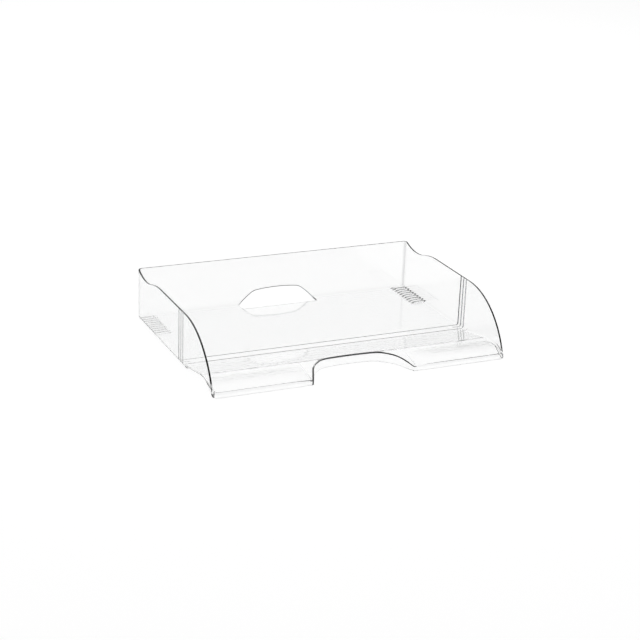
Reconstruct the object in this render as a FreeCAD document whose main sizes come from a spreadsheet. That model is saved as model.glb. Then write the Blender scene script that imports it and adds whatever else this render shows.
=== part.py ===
import FreeCAD, Part
import math
import operator
import os
import Sketcher

# Landscape letter tray of clear polystyrene, for A4 and C4 papers, open at the front.
# The tray is one moulding. It is built here as its own named regions, which meet face to face:
# a flat rear floor, a band that runs down one side wall, across the floor and up the other,
# a front floor that rises in a hump and rolls down to a lip, walls with a sculpted rim, a rear
# wall with an arch, and a corrugated comb in each rear corner, under which another tray's rim
# can catch.
# Frame: +X to the right, +Y to the rear, +Z up, origin in the middle of the footprint, on the desk.

SIZES = [
    ("tray_width", 350.0, "outside, left to right"),
    ("tray_depth", 252.0, "outside, front to rear"),
    ("wall", 2.0, "thickness of the upright walls and skirts"),
    ("sheet", 2.0, "thickness of the floor"),
    ("rim_reach", 7.0, "from the outer face of a side wall in to its seam with the floor"),
    ("cove", 2.5, "inner radius where a wall meets the floor"),
    ("bend", 4.3, "outer radius there, behind the band"),
    ("rear_height", 61.0, "top of the rear wall"),
    ("side_rise", 1.8, "of the level part of a side wall's rim above the rear wall"),
    ("dip_depth", 6.0, "of the dip in a side wall's rim below the top of the rear wall"),
    ("dip_from_rear", 30.0, "from the rear face to the lowest point of the dip"),
    ("dip_length", 52.0, "from the lowest point of the dip to the level rim"),
    ("sweep_lead", 7.5, "from the band to where the rim turns down"),
    ("sweep_gap", 1.0, "from the rounding of the front corner to where that curve ends"),
    ("sweep_rise", 0.9, "of its end above the floor"),
    ("rear_corner", 5.0, "outer radius of the upright rear corners"),
    ("front_corner", 5.0, "outer radius of the low front corners"),
    ("lip_height", 5.6, "front edge of the floor above the desk"),
    ("crest_height", 11.8, "top of the hump"),
    ("crest_from_front", 36.0, "from the front edge to the top of the hump"),
    ("ramp_length", 54.0, "from the top of the hump back to the flat floor"),
    ("leg_top", 19.0, "from the front edge, where the slant of a side wall's leg meets the hump"),
    ("foot_rise", 2.5, "height where the front of the foot under a side wall meets the hump"),
    ("band_gap", 5.5, "of flat floor between the hump and the band"),
    ("band_width", 13.0, "of the band, front to rear"),
    ("band_proud", 0.6, "of the band above the faces beside it"),
    ("band_groove", 1.0, "width of the groove along the middle of the band"),
    ("groove_reach", 12.0, "of that groove in from the outer face of a side wall"),
    ("arch_base", 49.0, "half width of the rear arch at the desk"),
    ("arch_height", 20.7, "top of the rear arch"),
    ("arch_round", 26.0, "radius of the rear arch's shoulders"),
    ("notch_depth", 16.0, "of the notch in the floor in front of the arch"),
    ("notch_round", 3.0, "radius of the notch's corners"),
    ("grip_mouth", 60.0, "half width of the grip cut-out at the front edge"),
    ("grip_waist", 49.5, "half width where its sides turn"),
    ("grip_waist_depth", 25.0, "from the front edge to that turn"),
    ("grip_back", 33.0, "half width of its back"),
    ("grip_back_depth", 40.3, "from the front edge to the ends of its back"),
    ("grip_crown_radius", 219.0, "of the gentle curve along its back"),
    ("grip_round", 14.0, "radius that eases the four turns"),
    ("comb_reach", 24.0, "of a comb in from the outer face of a side wall"),
    ("comb_margin", 2.4, "of plain floor in a comb, in front of its first tooth"),
    ("last_tooth", 5.1, "from the rear face to the middle of the tooth along the rear wall"),
    ("tooth_pitch", 6.3, "from tooth to tooth"),
    ("tooth_count", 9, "teeth in a comb, in front of the one along the rear wall"),
    ("tooth_width", 3.6, "of a tooth, front to rear"),
    ("tooth_rise", 2.6, "of a tooth above the floor"),
    ("rim_play", 0.1, "on each side of another tray's rim in the slot under a tooth"),
]

doc = FreeCAD.newDocument("LetterTray")
spreadsheet = doc.addObject("Spreadsheet::Sheet", "Sizes")


class Size:
    """A length that knows its number and the expression on the sheet that gives it."""

    def __init__(self, value, text):
        self.value = value
        self.text = text

    def joined(self, sign, work, other, swapped=False):
        first, second = self, as_size(other)
        if swapped:
            first, second = second, first
        return Size(work(first.value, second.value), f"({first.text} {sign} {second.text})")

    def __add__(self, other):
        return self.joined("+", operator.add, other)

    def __sub__(self, other):
        return self.joined("-", operator.sub, other)

    def __rsub__(self, other):
        return self.joined("-", operator.sub, other, swapped=True)

    def __mul__(self, other):
        return self.joined("*", operator.mul, other)

    def __truediv__(self, other):
        return self.joined("/", operator.truediv, other)

    def __neg__(self):
        return Size(-self.value, f"(-1 * {self.text})")

    __radd__ = __add__
    __rmul__ = __mul__


def as_size(thing):
    return thing if isinstance(thing, Size) else Size(float(thing), str(thing))


def root(size):
    return Size(math.sqrt(size.value), f"sqrt({size.text})")


for row, (alias, value, meaning) in enumerate(SIZES, start=1):
    spreadsheet.set(f"A{row}", alias)
    spreadsheet.set(f"B{row}", str(value))
    spreadsheet.set(f"C{row}", meaning)
    spreadsheet.setAlias(f"B{row}", alias)
doc.recompute()


class Sheet:
    """The driving sizes by name."""

    def __init__(self):
        for alias, _, _ in SIZES:
            setattr(self, alias, Size(float(getattr(spreadsheet, alias)), f"Sizes.{alias}"))


s = Sheet()

# Planes and seams that several regions share.
DESK = as_size(0)
half_width = s.tray_width / 2
rear = s.tray_depth / 2
front = -rear
inner_side = half_width - s.wall
seam_side = half_width - s.rim_reach
inner_rear = rear - s.wall
# The floor's rear seam runs halfway between the last tooth and the one in front of it.
seam_rear = rear - s.last_tooth - s.tooth_pitch / 2
side_height = s.rear_height + s.side_rise
crest = front + s.crest_from_front
ramp = crest + s.ramp_length
band_front = ramp + s.band_gap
band_rear = band_front + s.band_width
comb_inner = half_width - s.comb_reach
comb_front = rear - s.last_tooth - s.tooth_pitch * s.tooth_count - s.tooth_width / 2 - s.comb_margin
notch_front = rear - s.notch_depth
# The slot under a tooth takes the rim of another tray, and leaves this skin on all its sides.
slot_half = s.wall / 2 + s.rim_play
tooth_skin = s.tooth_width / 2 - slot_half
# Teeth run into the inner half of a side wall's thickness.
tooth_end = inner_side + s.wall / 2
# How far a cut runs past the face that it opens.
PAST = as_size(5)


def draw(sketch, corners, rounds=None):
    """Closes a loop through the corners. rounds makes an edge an arc, by the number of the corner
    that it starts from: (radius, turn), with turn 1 to the left or -1 to the right. A radius of
    None makes the edge a half circle."""
    rounds = rounds or {}
    places = [(across.value, along.value) for across, along in corners]
    ends = []
    for i, here in enumerate(places):
        there = places[(i + 1) % len(places)]
        if i in rounds:
            ends.append(add_arc(sketch, here, there, *rounds[i]))
        else:
            edge = Part.LineSegment(FreeCAD.Vector(*here, 0), FreeCAD.Vector(*there, 0))
            ends.append((sketch.addGeometry(edge, False), 1, 2))
    for i, (edge, start, _) in enumerate(ends):
        before, _, finish = ends[i - 1]
        sketch.addConstraint(Sketcher.Constraint("Coincident", before, finish, edge, start))
        bind(sketch, f"across{i}", "DistanceX", (edge, start), corners[i][0])
        bind(sketch, f"along{i}", "DistanceY", (edge, start), corners[i][1])
        if i in rounds and rounds[i][0]:
            bind(sketch, f"radius{i}", "Radius", (edge,), rounds[i][0])
        elif i in rounds and places[i][0] == places[(i + 1) % len(places)][0]:
            bind(sketch, f"centre{i}", "DistanceX", (edge, 3), corners[i][0])
        elif i in rounds:
            bind(sketch, f"centre{i}", "DistanceY", (edge, 3), corners[i][1])


def add_arc(sketch, here, there, radius, turn):
    """Adds the arc from here to there and gives its number and which of its ends is which."""
    chord = (there[0] - here[0], there[1] - here[1])
    length = math.hypot(*chord)
    size = radius.value if radius else length / 2
    rise = math.sqrt(max(size ** 2 - (length / 2) ** 2, 0)) * turn / length
    centre = (here[0] + chord[0] / 2 - chord[1] * rise, here[1] + chord[1] / 2 + chord[0] * rise)
    first, last = (here, there) if turn > 0 else (there, here)
    angles = [math.atan2(p[1] - centre[1], p[0] - centre[0]) for p in (first, last)]
    if angles[1] < angles[0]:
        angles[1] += 2 * math.pi
    circle = Part.Circle(FreeCAD.Vector(*centre, 0), FreeCAD.Vector(0, 0, 1), size)
    edge = sketch.addGeometry(Part.ArcOfCircle(circle, *angles), False)
    return (edge, 1, 2) if turn > 0 else (edge, 2, 1)


def bind(sketch, name, kind, place, size):
    """Adds a dimension with a name, and ties it to the sheet."""
    index = sketch.addConstraint(Sketcher.Constraint(kind, *place, size.value))
    sketch.renameConstraint(index, name)
    sketch.setExpression(f"Constraints.{name}", size.text)


def box(low, high):
    """The four corners of a rectangle, from (across, along) to (across, along)."""
    return [low, (high[0], low[1]), high, (low[0], high[1])]


class Region:
    """One region of the moulding, as a PartDesign body. A pad or pocket runs square to a plane
    of the body's origin, from low to high along the third axis."""

    def __init__(self, name):
        self.body = doc.addObject("PartDesign::Body", name)
        self.body.Label = name

    def origin(self, role):
        return next(f for f in self.body.Origin.OriginFeatures if f.Role == role)

    def profile(self, name, plane, corners, rounds, low, high):
        sketch = self.body.newObject("Sketcher::SketchObject", f"{self.body.Name}_{name}_outline")
        sketch.AttachmentSupport = [(self.origin(plane), "")]
        sketch.MapMode = "FlatFace"
        # The XZ plane faces the front, so its outlines stand at the rear end of what they make.
        shift = -high if plane == "XZ_Plane" else low
        sketch.AttachmentOffset = FreeCAD.Placement(FreeCAD.Vector(0, 0, shift.value),
                                                    FreeCAD.Rotation())
        sketch.setExpression("AttachmentOffset.Base.z", shift.text)
        draw(sketch, corners, rounds)
        return sketch

    def feature(self, kind, name, plane, corners, low, high, rounds=None):
        outline = self.profile(name, plane, corners, rounds, low, high)
        made = self.body.newObject(f"PartDesign::{kind}", f"{self.body.Name}_{name}")
        made.Profile = outline
        made.Length = (high - low).value
        made.setExpression("Length", (high - low).text)
        made.Reversed = kind == "Pocket"
        return made

    def pad(self, name, plane, corners, low, high, rounds=None):
        made = self.feature("Pad", name, plane, corners, low, high, rounds)
        doc.recompute()
        return made

    def pocket(self, name, plane, corners, low, high, rounds=None):
        before = self.body.Shape.Volume
        made = self.feature("Pocket", name, plane, corners, low, high, rounds)
        doc.recompute()
        if not made.Shape.Volume < before:
            raise RuntimeError(f"{made.Name} cuts nothing")
        return made

    def fillet(self, name, radius, wanted):
        """Rounds the edges of the region so far that pass the test called wanted, which is given
        an edge and whether it borders a face that looks up."""
        base = self.body.Tip
        edges = [f"Edge{i}" for i, edge in enumerate(base.Shape.Edges, start=1)
                 if wanted(edge, borders_top(base.Shape, edge))]
        made = self.body.newObject("PartDesign::Fillet", f"{self.body.Name}_{name}")
        made.Base = (base, edges)
        made.Radius = radius.value
        made.setExpression("Radius", radius.text)
        doc.recompute()
        return made

    def repeat(self, name, features, axis, pitch, count):
        made = self.body.newObject("PartDesign::LinearPattern", f"{self.body.Name}_{name}")
        made.Originals = features
        made.Direction = (self.origin(axis), [""])
        made.Length = (pitch * (count - 1)).value
        made.Occurrences = int(count.value)
        made.setExpression("Length", (pitch * (count - 1)).text)
        made.setExpression("Occurrences", count.text)
        self.body.Tip = made
        doc.recompute()
        return made


def arc_radius(run, drop):
    """Radius of an arc that starts level and drops by this much over this run. For an S of two
    arcs that is level at both ends, it is the sum of their radii."""
    return (run * run + drop * drop) / (2 * drop)


def borders_top(shape, edge):
    for face in shape.ancestorsOfType(edge, Part.Face):
        low_u, high_u, low_v, high_v = face.ParameterRange
        if face.normalAt((low_u + high_u) / 2, (low_v + high_v) / 2).z > 0.5:
            return True
    return False


def across_x(edge, x):
    """True for an edge that lies at one place across the tray."""
    bounds = edge.BoundBox
    return abs(bounds.XMin - x.value) < 1e-4 and abs(bounds.XMax - x.value) < 1e-4


# The rim of a side wall behind the band: level, then an S of two arcs down to the dip, whose
# second arc goes on up to the inner face of the rear wall. The two arcs of an S that is level at
# both ends share its run and its drop in the ratio of their radii.
dip = rear - s.dip_from_rear
dip_start = dip - s.dip_length
dip_drop = s.side_rise + s.dip_depth
dip_radius = arc_radius(s.dip_from_rear - s.wall, s.dip_depth)
both_radii = arc_radius(s.dip_length, dip_drop)
dip_share = dip_radius / both_radii
bend = (dip - s.dip_length * dip_share, side_height - dip_drop * (1 - dip_share))


def relieve_rim(region):
    """Cuts the rim of a region of the side wall down to the dip and to the rear wall's height."""
    top = side_height + PAST
    corners = [(dip_start, side_height), bend, (inner_rear, s.rear_height),
               (rear + PAST, s.rear_height), (rear + PAST, top), (dip_start, top)]
    rounds = {0: (both_radii - dip_radius, -1), 1: (dip_radius, 1)}
    region.pocket("rim", "YZ_Plane", corners, seam_side - PAST, half_width + PAST, rounds)


def side_section(proud=DESK):
    """Section across a side wall that stands on the desk: the wall, the cove, and the floor in to
    the seam."""
    face = inner_side - proud
    top = s.sheet + proud
    radius = s.cove - proud
    corners = [(seam_side, DESK), (half_width, DESK), (half_width, side_height),
               (face, side_height), (face, top + radius), (face - radius, top),
               (seam_side, top)]
    return corners, {4: (radius, -1)}


def bent_section(seam, outer, inner, height):
    """Section across a wall that the floor's sheet bends up into, from a seam in the floor to the
    wall's outer face. Behind the band all walls are like this."""
    corners = [(seam, DESK), (outer - s.bend, DESK), (outer, s.bend), (outer, height),
               (inner, height), (inner, s.sheet + s.cove), (inner - s.cove, s.sheet),
               (seam, s.sheet)]
    return corners, {1: (s.bend, 1), 5: (s.cove, -1)}


def add_tooth(region, number, reach, slot_reach):
    """A tooth with a round top across the floor and, under it, a slot for another tray's rim.
    Number 0 is the tooth along the rear wall, and the others count forward from it."""
    middle = rear - s.last_tooth - s.tooth_pitch * number
    half = s.tooth_width / 2
    shoulder = s.sheet + s.tooth_rise - half
    tooth = region.pad("tooth", "YZ_Plane",
                       [(middle - half, s.sheet / 2), (middle + half, s.sheet / 2),
                        (middle + half, shoulder), (middle - half, shoulder)],
                       *reach, {2: (None, 1)})
    slot = region.pocket("slot", "YZ_Plane",
                         box((middle - slot_half, -PAST),
                             (middle + slot_half, shoulder + tooth_skin)), *slot_reach)
    return [tooth, slot]


def add_comb(region, reach, slot_reach):
    teeth = add_tooth(region, s.tooth_count, reach, slot_reach)
    region.repeat("teeth", teeth, "Y_Axis", s.tooth_pitch, s.tooth_count)


def make_wall_rear():
    region = Region("right_wall_rear")
    corners, rounds = bent_section(seam_side, half_width, inner_side, side_height)
    region.pad("section", "XZ_Plane", corners, band_rear, seam_rear, rounds)
    relieve_rim(region)
    add_comb(region, (seam_side, tooth_end), (seam_side, half_width))
    return region.body


def make_wall_band():
    region = Region("right_wall_band")
    corners, rounds = side_section()
    region.pad("section", "XZ_Plane", corners, band_front, band_rear, rounds)
    corners, rounds = side_section(s.band_proud)
    strip = (s.band_width - s.band_groove) / 2
    region.pad("rear_strip", "XZ_Plane", corners, band_rear - strip, band_rear, rounds)
    region.pad("front_strip", "XZ_Plane", corners, band_front, band_front + strip, rounds)
    return region.body


def make_rear_corner():
    region = Region("right_rear_corner")
    r = s.rear_corner
    corners = [(seam_side, seam_rear), (half_width, seam_rear), (half_width, rear - r),
               (half_width - r, rear), (seam_side, rear)]
    region.pad("post", "XY_Plane", corners, DESK, side_height, {2: (r, 1)})

    def on_seam(edge):
        return across_x(edge, seam_side) or abs(edge.BoundBox.YMax - seam_rear.value) < 1e-4

    def on_desk(edge, _):
        return edge.BoundBox.ZMax < DESK.value + 1e-4 and not on_seam(edge)

    region.fillet("bend", s.bend, on_desk)
    r = s.rear_corner - s.wall
    corners = [(seam_side - PAST, seam_rear - PAST), (inner_side, seam_rear - PAST),
               (inner_side, inner_rear - r), (inner_side - r, inner_rear),
               (seam_side - PAST, inner_rear)]
    region.pocket("inside", "XY_Plane", corners, s.sheet, side_height + PAST, {2: (r, 1)})

    def foot_of_wall(edge, on_top):
        return on_top and edge.BoundBox.ZMax < s.sheet.value + 1e-4 and not on_seam(edge)

    region.fillet("cove", s.cove, foot_of_wall)
    relieve_rim(region)
    add_tooth(region, 0, (seam_side, tooth_end), (seam_side, half_width))
    return region.body


def make_rear_wall():
    region = Region("rear_wall")
    corners, rounds = bent_section(seam_rear, rear, inner_rear, s.rear_height)
    region.pad("section", "YZ_Plane", corners, -seam_side, seam_side, rounds)
    first_slot = comb_inner + tooth_skin
    add_tooth(region, 0, (comb_inner, seam_side), (first_slot, seam_side))
    add_tooth(region, 0, (-seam_side, -comb_inner), (-seam_side, -first_slot))
    corners = [(-s.arch_base, notch_front), (s.arch_base, notch_front),
               (s.arch_base, inner_rear), (-s.arch_base, inner_rear)]
    region.pocket("notch", "XY_Plane", corners, -PAST, s.sheet + s.cove)
    # The arch leaves the desk at 45 degrees, and its shoulders are tangent to that and to its top.
    slope = root(as_size(0.5))
    drop = s.arch_round * (1 - slope)
    turn = s.arch_height - drop
    side = s.arch_base - turn
    flat = side - s.arch_round * slope
    corners = [(-s.arch_base - PAST, -PAST), (s.arch_base + PAST, -PAST), (side, turn),
               (flat, s.arch_height), (-flat, s.arch_height), (-side, turn)]
    region.pocket("arch", "XZ_Plane", corners, inner_rear, rear + PAST,
                  {2: (s.arch_round, 1), 4: (s.arch_round, 1)})
    return region.body


def make_rear_floor():
    region = Region("rear_floor")
    r = s.notch_round
    half = [(seam_side, band_rear), (seam_side, comb_front), (comb_inner, comb_front),
            (comb_inner, seam_rear), (s.arch_base, seam_rear), (s.arch_base, notch_front + r),
            (s.arch_base - r, notch_front)]
    corners = half + [(-across, along) for across, along in reversed(half)]
    region.pad("plate", "XY_Plane", corners, DESK, s.sheet, {5: (r, -1), 7: (r, -1)})
    return region.body


def make_comb():
    region = Region("right_stacking_comb")
    corners = box((comb_inner, comb_front), (seam_side, seam_rear))
    region.pad("plate", "XY_Plane", corners, DESK, s.sheet)
    add_comb(region, (comb_inner, seam_side), (comb_inner + tooth_skin, seam_side))
    return region.body


def make_floor_band():
    region = Region("floor_band")
    top = s.sheet + s.band_proud
    corners = box((-seam_side, band_front), (seam_side, band_rear))
    region.pad("plate", "XY_Plane", corners, DESK, top)
    half = s.band_groove / 2
    middle = (band_front + band_rear) / 2
    end = half_width - s.groove_reach + half
    corners = [(seam_side + PAST, middle - half), (seam_side + PAST, middle + half),
               (end, middle + half), (end, middle - half)]
    region.pocket("right_groove", "XY_Plane", corners, s.sheet, top + PAST, {2: (None, 1)})
    corners = [(-across, along) for across, along in corners]
    region.pocket("left_groove", "XY_Plane", corners, s.sheet, top + PAST, {2: (None, -1)})
    return region.body


# The section of the front floor: a hump of two arcs, one over the crest and down to the lip and
# one that eases it into the flat floor, each with its underside at the sheet's thickness.
crest_radius = arc_radius(s.crest_from_front, s.crest_height - s.lip_height)
crest_centre = s.crest_height - crest_radius
ramp_drop = s.crest_height - s.sheet
ramp_radius = arc_radius(s.ramp_length, ramp_drop) - crest_radius
crest_share = crest_radius / (crest_radius + ramp_radius)
turn_top = (crest + s.ramp_length * crest_share, s.crest_height - ramp_drop * crest_share)
under_radius = crest_radius - s.sheet
under_share = under_radius / crest_radius
turn_under = (crest + s.ramp_length * crest_share * under_share,
              crest_centre + (turn_top[1] - crest_centre) * under_share)


def hump(radius, from_front):
    """Height of the hump's top or underside, by its radius, at a place near the crest."""
    away = s.crest_from_front - from_front
    return crest_centre + root(radius * radius - away * away)


def make_wall_front():
    region = Region("right_wall_front")
    # The floor's edge from the band to the lip, with the skirt under the lip turning the corner.
    corners = [(band_front, s.sheet), (ramp, s.sheet), turn_top, (front, s.lip_height),
               (front, DESK), (front + s.wall, DESK), (front + s.wall, hump(under_radius, s.wall)),
               turn_under, (ramp, DESK), (band_front, DESK)]
    rounds = {1: (ramp_radius, -1), 2: (crest_radius, 1),
              6: (under_radius, -1), 7: (ramp_radius + s.sheet, 1)}
    region.pad("floor", "YZ_Plane", corners, seam_side, half_width, rounds)

    def front_corner(edge, _):
        return across_x(edge, half_width) and abs(edge.BoundBox.YMax - front.value) < 1e-4

    region.fillet("corner", s.front_corner, front_corner)
    r = s.front_corner
    inner = r - s.wall
    corners = [(seam_side, front), (half_width - r, front), (half_width, front + r),
               (inner_side, front + r), (inner_side - inner, front + s.wall),
               (seam_side, front + s.wall)]
    region.pad("toe", "XY_Plane", corners, DESK, s.lip_height, {1: (r, 1), 3: (inner, -1)})
    # The foot, where the wall stays on the desk under the start of the hump. Its front is a
    # quarter round that ends on the underside.
    rise = s.foot_rise
    foot = ramp - root(rise * (2 * (ramp_radius + s.sheet) - rise))
    corners = [(ramp, DESK), (ramp, s.sheet / 2), (foot, rise + s.sheet / 2),
               (foot, rise), (foot + rise, DESK)]
    region.pad("foot", "YZ_Plane", corners, inner_side, half_width, {3: (rise, 1)})
    # The wall, raised clear of the desk between the foot and the front leg.
    end = front + r + s.sweep_gap
    corners = [(band_front, DESK), (band_front, side_height), (end, side_height),
               (end, s.lip_height), (front + r, s.lip_height), (front + r, DESK),
               (front + s.leg_top, hump(under_radius, s.leg_top)), turn_under, (ramp, DESK)]
    rounds = {6: (under_radius, -1), 7: (ramp_radius + s.sheet, 1)}
    region.pad("wall", "YZ_Plane", corners, inner_side, half_width, rounds)

    def foot_of_wall(edge, on_top):
        low = edge.BoundBox.ZMax < s.crest_height.value + 1
        return on_top and low and across_x(edge, inner_side)

    region.fillet("cove", s.cove, foot_of_wall)
    # The rim's curve, from the level part down to a small step above the floor.
    sweep = band_front - s.sweep_lead
    low = hump(crest_radius, r + s.sweep_gap) + s.sweep_rise
    sweep_radius = arc_radius(sweep - end, side_height - low)
    top = side_height + PAST
    corners = [(sweep, side_height), (end, low), (front - PAST, low), (front - PAST, top),
               (sweep, top)]
    region.pocket("rim", "YZ_Plane", corners, seam_side - PAST, half_width + PAST,
                  {0: (sweep_radius, 1)})
    return region.body


def make_front_floor_sheet():
    """The sheet of the front floor before the grip cut-out is taken from it."""
    region = Region("front_floor_sheet")
    corners = [(band_front, s.sheet), (ramp, s.sheet), turn_top,
               (front + s.wall, hump(crest_radius, s.wall)),
               (front + s.wall, hump(under_radius, s.wall)),
               turn_under, (ramp, DESK), (band_front, DESK)]
    rounds = {1: (ramp_radius, -1), 2: (crest_radius, 1),
              4: (under_radius, -1), 5: (ramp_radius + s.sheet, 1)}
    region.pad("section", "YZ_Plane", corners, -seam_side, seam_side, rounds)
    return region.body


def make_lip_strip():
    """The right half of the front lip before the grip cut-out is taken from it."""
    region = Region("lip_strip")
    corners = [(front, DESK), (front + s.wall, DESK),
               (front + s.wall, hump(crest_radius, s.wall)), (front, s.lip_height)]
    region.pad("section", "YZ_Plane", corners, DESK, seam_side, {2: (crest_radius, 1)})
    return region.body


def make_under_hump():
    """All that lies under the top of the hump, which the grip's skirt stands up to."""
    region = Region("under_hump")
    corners = [(front, DESK), (turn_top[0], DESK), turn_top, (front, s.lip_height)]
    region.pad("section", "YZ_Plane", corners, -seam_side, seam_side, {2: (crest_radius, 1)})
    return region.body


def make_grip_opening():
    """What the grip's skirt stands around: slanted sides, and a back with a gentle crown."""
    region = Region("grip_opening")
    spread = (s.grip_mouth - s.grip_waist) / s.grip_waist_depth
    half = [(s.grip_mouth + spread * PAST, front - PAST),
            (s.grip_waist, front + s.grip_waist_depth), (s.grip_back, front + s.grip_back_depth)]
    corners = half + [(-across, along) for across, along in reversed(half)]
    region.pad("outline", "XY_Plane", corners, -PAST, s.crest_height + PAST,
               {2: (s.grip_crown_radius, 1)})

    def turns(edge, _):
        return edge.BoundBox.ZLength > s.crest_height.value and edge.BoundBox.YMax > front.value

    region.fillet("turns", s.grip_round, turns)
    return region.body


def derived(kind, name, **links):
    """An object that Part works out from others, such as a cut or a mirror image."""
    made = doc.addObject(kind, name)
    made.Label = name
    for link, value in links.items():
        setattr(made, link, value)
    doc.recompute()
    return made


def mirrored(source):
    name = source.Label.replace("right", "left")
    return derived("Part::Mirroring", name, Source=source, Normal=FreeCAD.Vector(1, 0, 0))


def make_front():
    """The front floor, its lips and the skirt around the grip, which share one opening."""
    opening = make_grip_opening()
    grown = derived("Part::Offset", "grip_opening_and_skirt", Source=opening, Value=s.wall.value,
                    Join=2)
    grown.setExpression("Value", s.wall.text)
    doc.recompute()
    floor = derived("Part::Cut", "front_floor", Base=make_front_floor_sheet(), Tool=grown)
    lip = derived("Part::Cut", "right_front_lip", Base=make_lip_strip(), Tool=grown)
    ring = derived("Part::Cut", "grip_ring", Base=grown, Tool=opening)
    skirt = derived("Part::Common", "grip_skirt", Base=ring, Tool=make_under_hump())
    return [floor, skirt, lip, mirrored(lip)]


sides = [make_wall_rear(), make_wall_band(), make_rear_corner(), make_wall_front(), make_comb()]
parts = [make_rear_wall(), make_rear_floor(), make_floor_band()] + make_front()
parts += sides + [mirrored(side) for side in sides]
doc.recompute()

faults = [o.Name for o in doc.Objects if "Invalid" in o.State or "Error" in o.State]
faults += [p.Label for p in parts if p.Shape.isNull() or not p.Shape.isValid()]
if faults:
    raise RuntimeError(f"These did not build: {faults}")
os.makedirs("parts", exist_ok=True)
for part in parts:
    part.Shape.exportStep(f"parts/{part.Label}.step")
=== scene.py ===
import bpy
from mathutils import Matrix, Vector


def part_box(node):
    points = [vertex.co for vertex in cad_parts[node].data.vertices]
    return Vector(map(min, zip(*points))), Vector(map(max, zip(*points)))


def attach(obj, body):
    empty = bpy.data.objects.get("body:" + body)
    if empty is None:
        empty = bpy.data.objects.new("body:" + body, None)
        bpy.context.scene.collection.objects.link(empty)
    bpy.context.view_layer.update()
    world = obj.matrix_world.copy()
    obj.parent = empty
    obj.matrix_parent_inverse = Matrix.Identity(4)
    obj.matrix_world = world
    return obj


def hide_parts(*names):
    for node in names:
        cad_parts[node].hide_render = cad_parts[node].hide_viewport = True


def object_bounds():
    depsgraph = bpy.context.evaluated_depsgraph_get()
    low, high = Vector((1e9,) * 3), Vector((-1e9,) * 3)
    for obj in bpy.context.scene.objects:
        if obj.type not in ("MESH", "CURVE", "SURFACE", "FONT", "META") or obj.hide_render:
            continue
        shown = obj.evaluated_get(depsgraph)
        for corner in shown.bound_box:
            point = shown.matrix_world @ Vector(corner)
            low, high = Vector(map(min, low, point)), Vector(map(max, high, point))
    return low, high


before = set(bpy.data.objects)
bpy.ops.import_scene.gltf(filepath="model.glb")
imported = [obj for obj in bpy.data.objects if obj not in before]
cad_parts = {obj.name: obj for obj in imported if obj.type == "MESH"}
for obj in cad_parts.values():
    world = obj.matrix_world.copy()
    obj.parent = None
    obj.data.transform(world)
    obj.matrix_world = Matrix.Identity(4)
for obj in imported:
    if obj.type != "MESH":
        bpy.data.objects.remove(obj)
CAD_BOX = [list(corner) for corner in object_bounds()]

import math

import bmesh
import bpy
import numpy as np
from mathutils import Matrix

# Sizes are in millimetres, and y runs from the front edge of the tray to its rear face.
MM = 0.001
LOW, HIGH = (np.array(corner) / MM for corner in CAD_BOX)
HALF = (HIGH[0] - LOW[0]) / 2
DEPTH = HIGH[1] - LOW[1]
REAR_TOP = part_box("rear_wall")[1].z / MM
SIDE_TOP = HIGH[2]
WALL = 2.0
SHEET = 2.0
COVE = 2.5
CORNER = 5.0
FOLD = WALL + COVE


# ---- levels of the floor, the rim, the foot, the teeth and the arch ----

def arc(middle, height, radius, y, side):
    """Height of a circle at y: its centre's height, plus or minus the root of r2 - (y - middle)2."""
    return height + side * np.sqrt(np.maximum(radius ** 2 - (y - middle) ** 2, 0))


def level_arc(run, rise):
    """Radius of an arc that is level at one end and has moved by rise after run:
    (run2 + rise2) / (2 rise)."""
    return (run ** 2 + rise ** 2) / (2 * rise)


def smooth(part):
    """An eased step from 0 to 1: 3 p2 - 2 p3, where p is part held between 0 and 1."""
    part = np.clip(part, 0, 1)
    return part * part * (3 - 2 * part)


# The front floor: an arc up to the crest, a shorter one over it, a ramp down at SLOPE, and an arc
# that ends on the flat floor at RAMP.
LIP_TOP = 5.6
CREST = 36.0
CREST_TOP = 11.8
CREST_RADIUS = level_arc(CREST, CREST_TOP - LIP_TOP)
RAMP = 94.0
SLOPE = math.radians(10.6)
EASE = (RAMP - CREST) - (CREST_TOP - SHEET) / math.tan(SLOPE)
EASE_RADIUS = EASE / math.tan(SLOPE / 2) / 2


def floor_level(y, drop=0.0):
    """Height of the floor's top, or of its underside with drop = SHEET: up an arc to the crest,
    over a shorter arc, down a straight SLOPE, and along an arc to the flat floor at RAMP."""
    over = EASE_RADIUS - drop
    under = EASE_RADIUS + drop
    first = CREST + over * math.sin(SLOPE)
    last = RAMP - under * math.sin(SLOPE)
    rise = arc(CREST, CREST_TOP - CREST_RADIUS, CREST_RADIUS - drop, y, 1)
    crest = arc(CREST, CREST_TOP - EASE_RADIUS, over, np.clip(y, CREST, first), 1)
    fall = np.clip(y - first, 0, last - first) * math.tan(SLOPE)
    ease = arc(RAMP, SHEET + EASE_RADIUS, under, np.minimum(y, RAMP), -1)
    return np.select([y < CREST, y < last], [rise, crest - fall], ease)


# The front lip is thinner than the floor, and beside the grip's mouth it comes in over LIP_EASE.
GRIP_MOUTH = 60.0
LIP_GAP = 0.5
LIP_EASE = 12.0
LIP_THIN = 0.85
THIN_TO = 4.0
THIN_OVER = 32.0


def lip_share(x):
    """How far the front edge at x is a lip: an eased step, from none along the grip to all
    beside it."""
    return smooth((np.abs(x) - GRIP_MOUTH - LIP_GAP) / LIP_EASE)


def thickness(x, y):
    """Thickness of the floor: SHEET, less an eased step down to LIP_THIN where it turns down
    into the lip."""
    return SHEET - (SHEET - LIP_THIN) * lip_share(x) * (1 - smooth((y - THIN_TO) / THIN_OVER))


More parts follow.
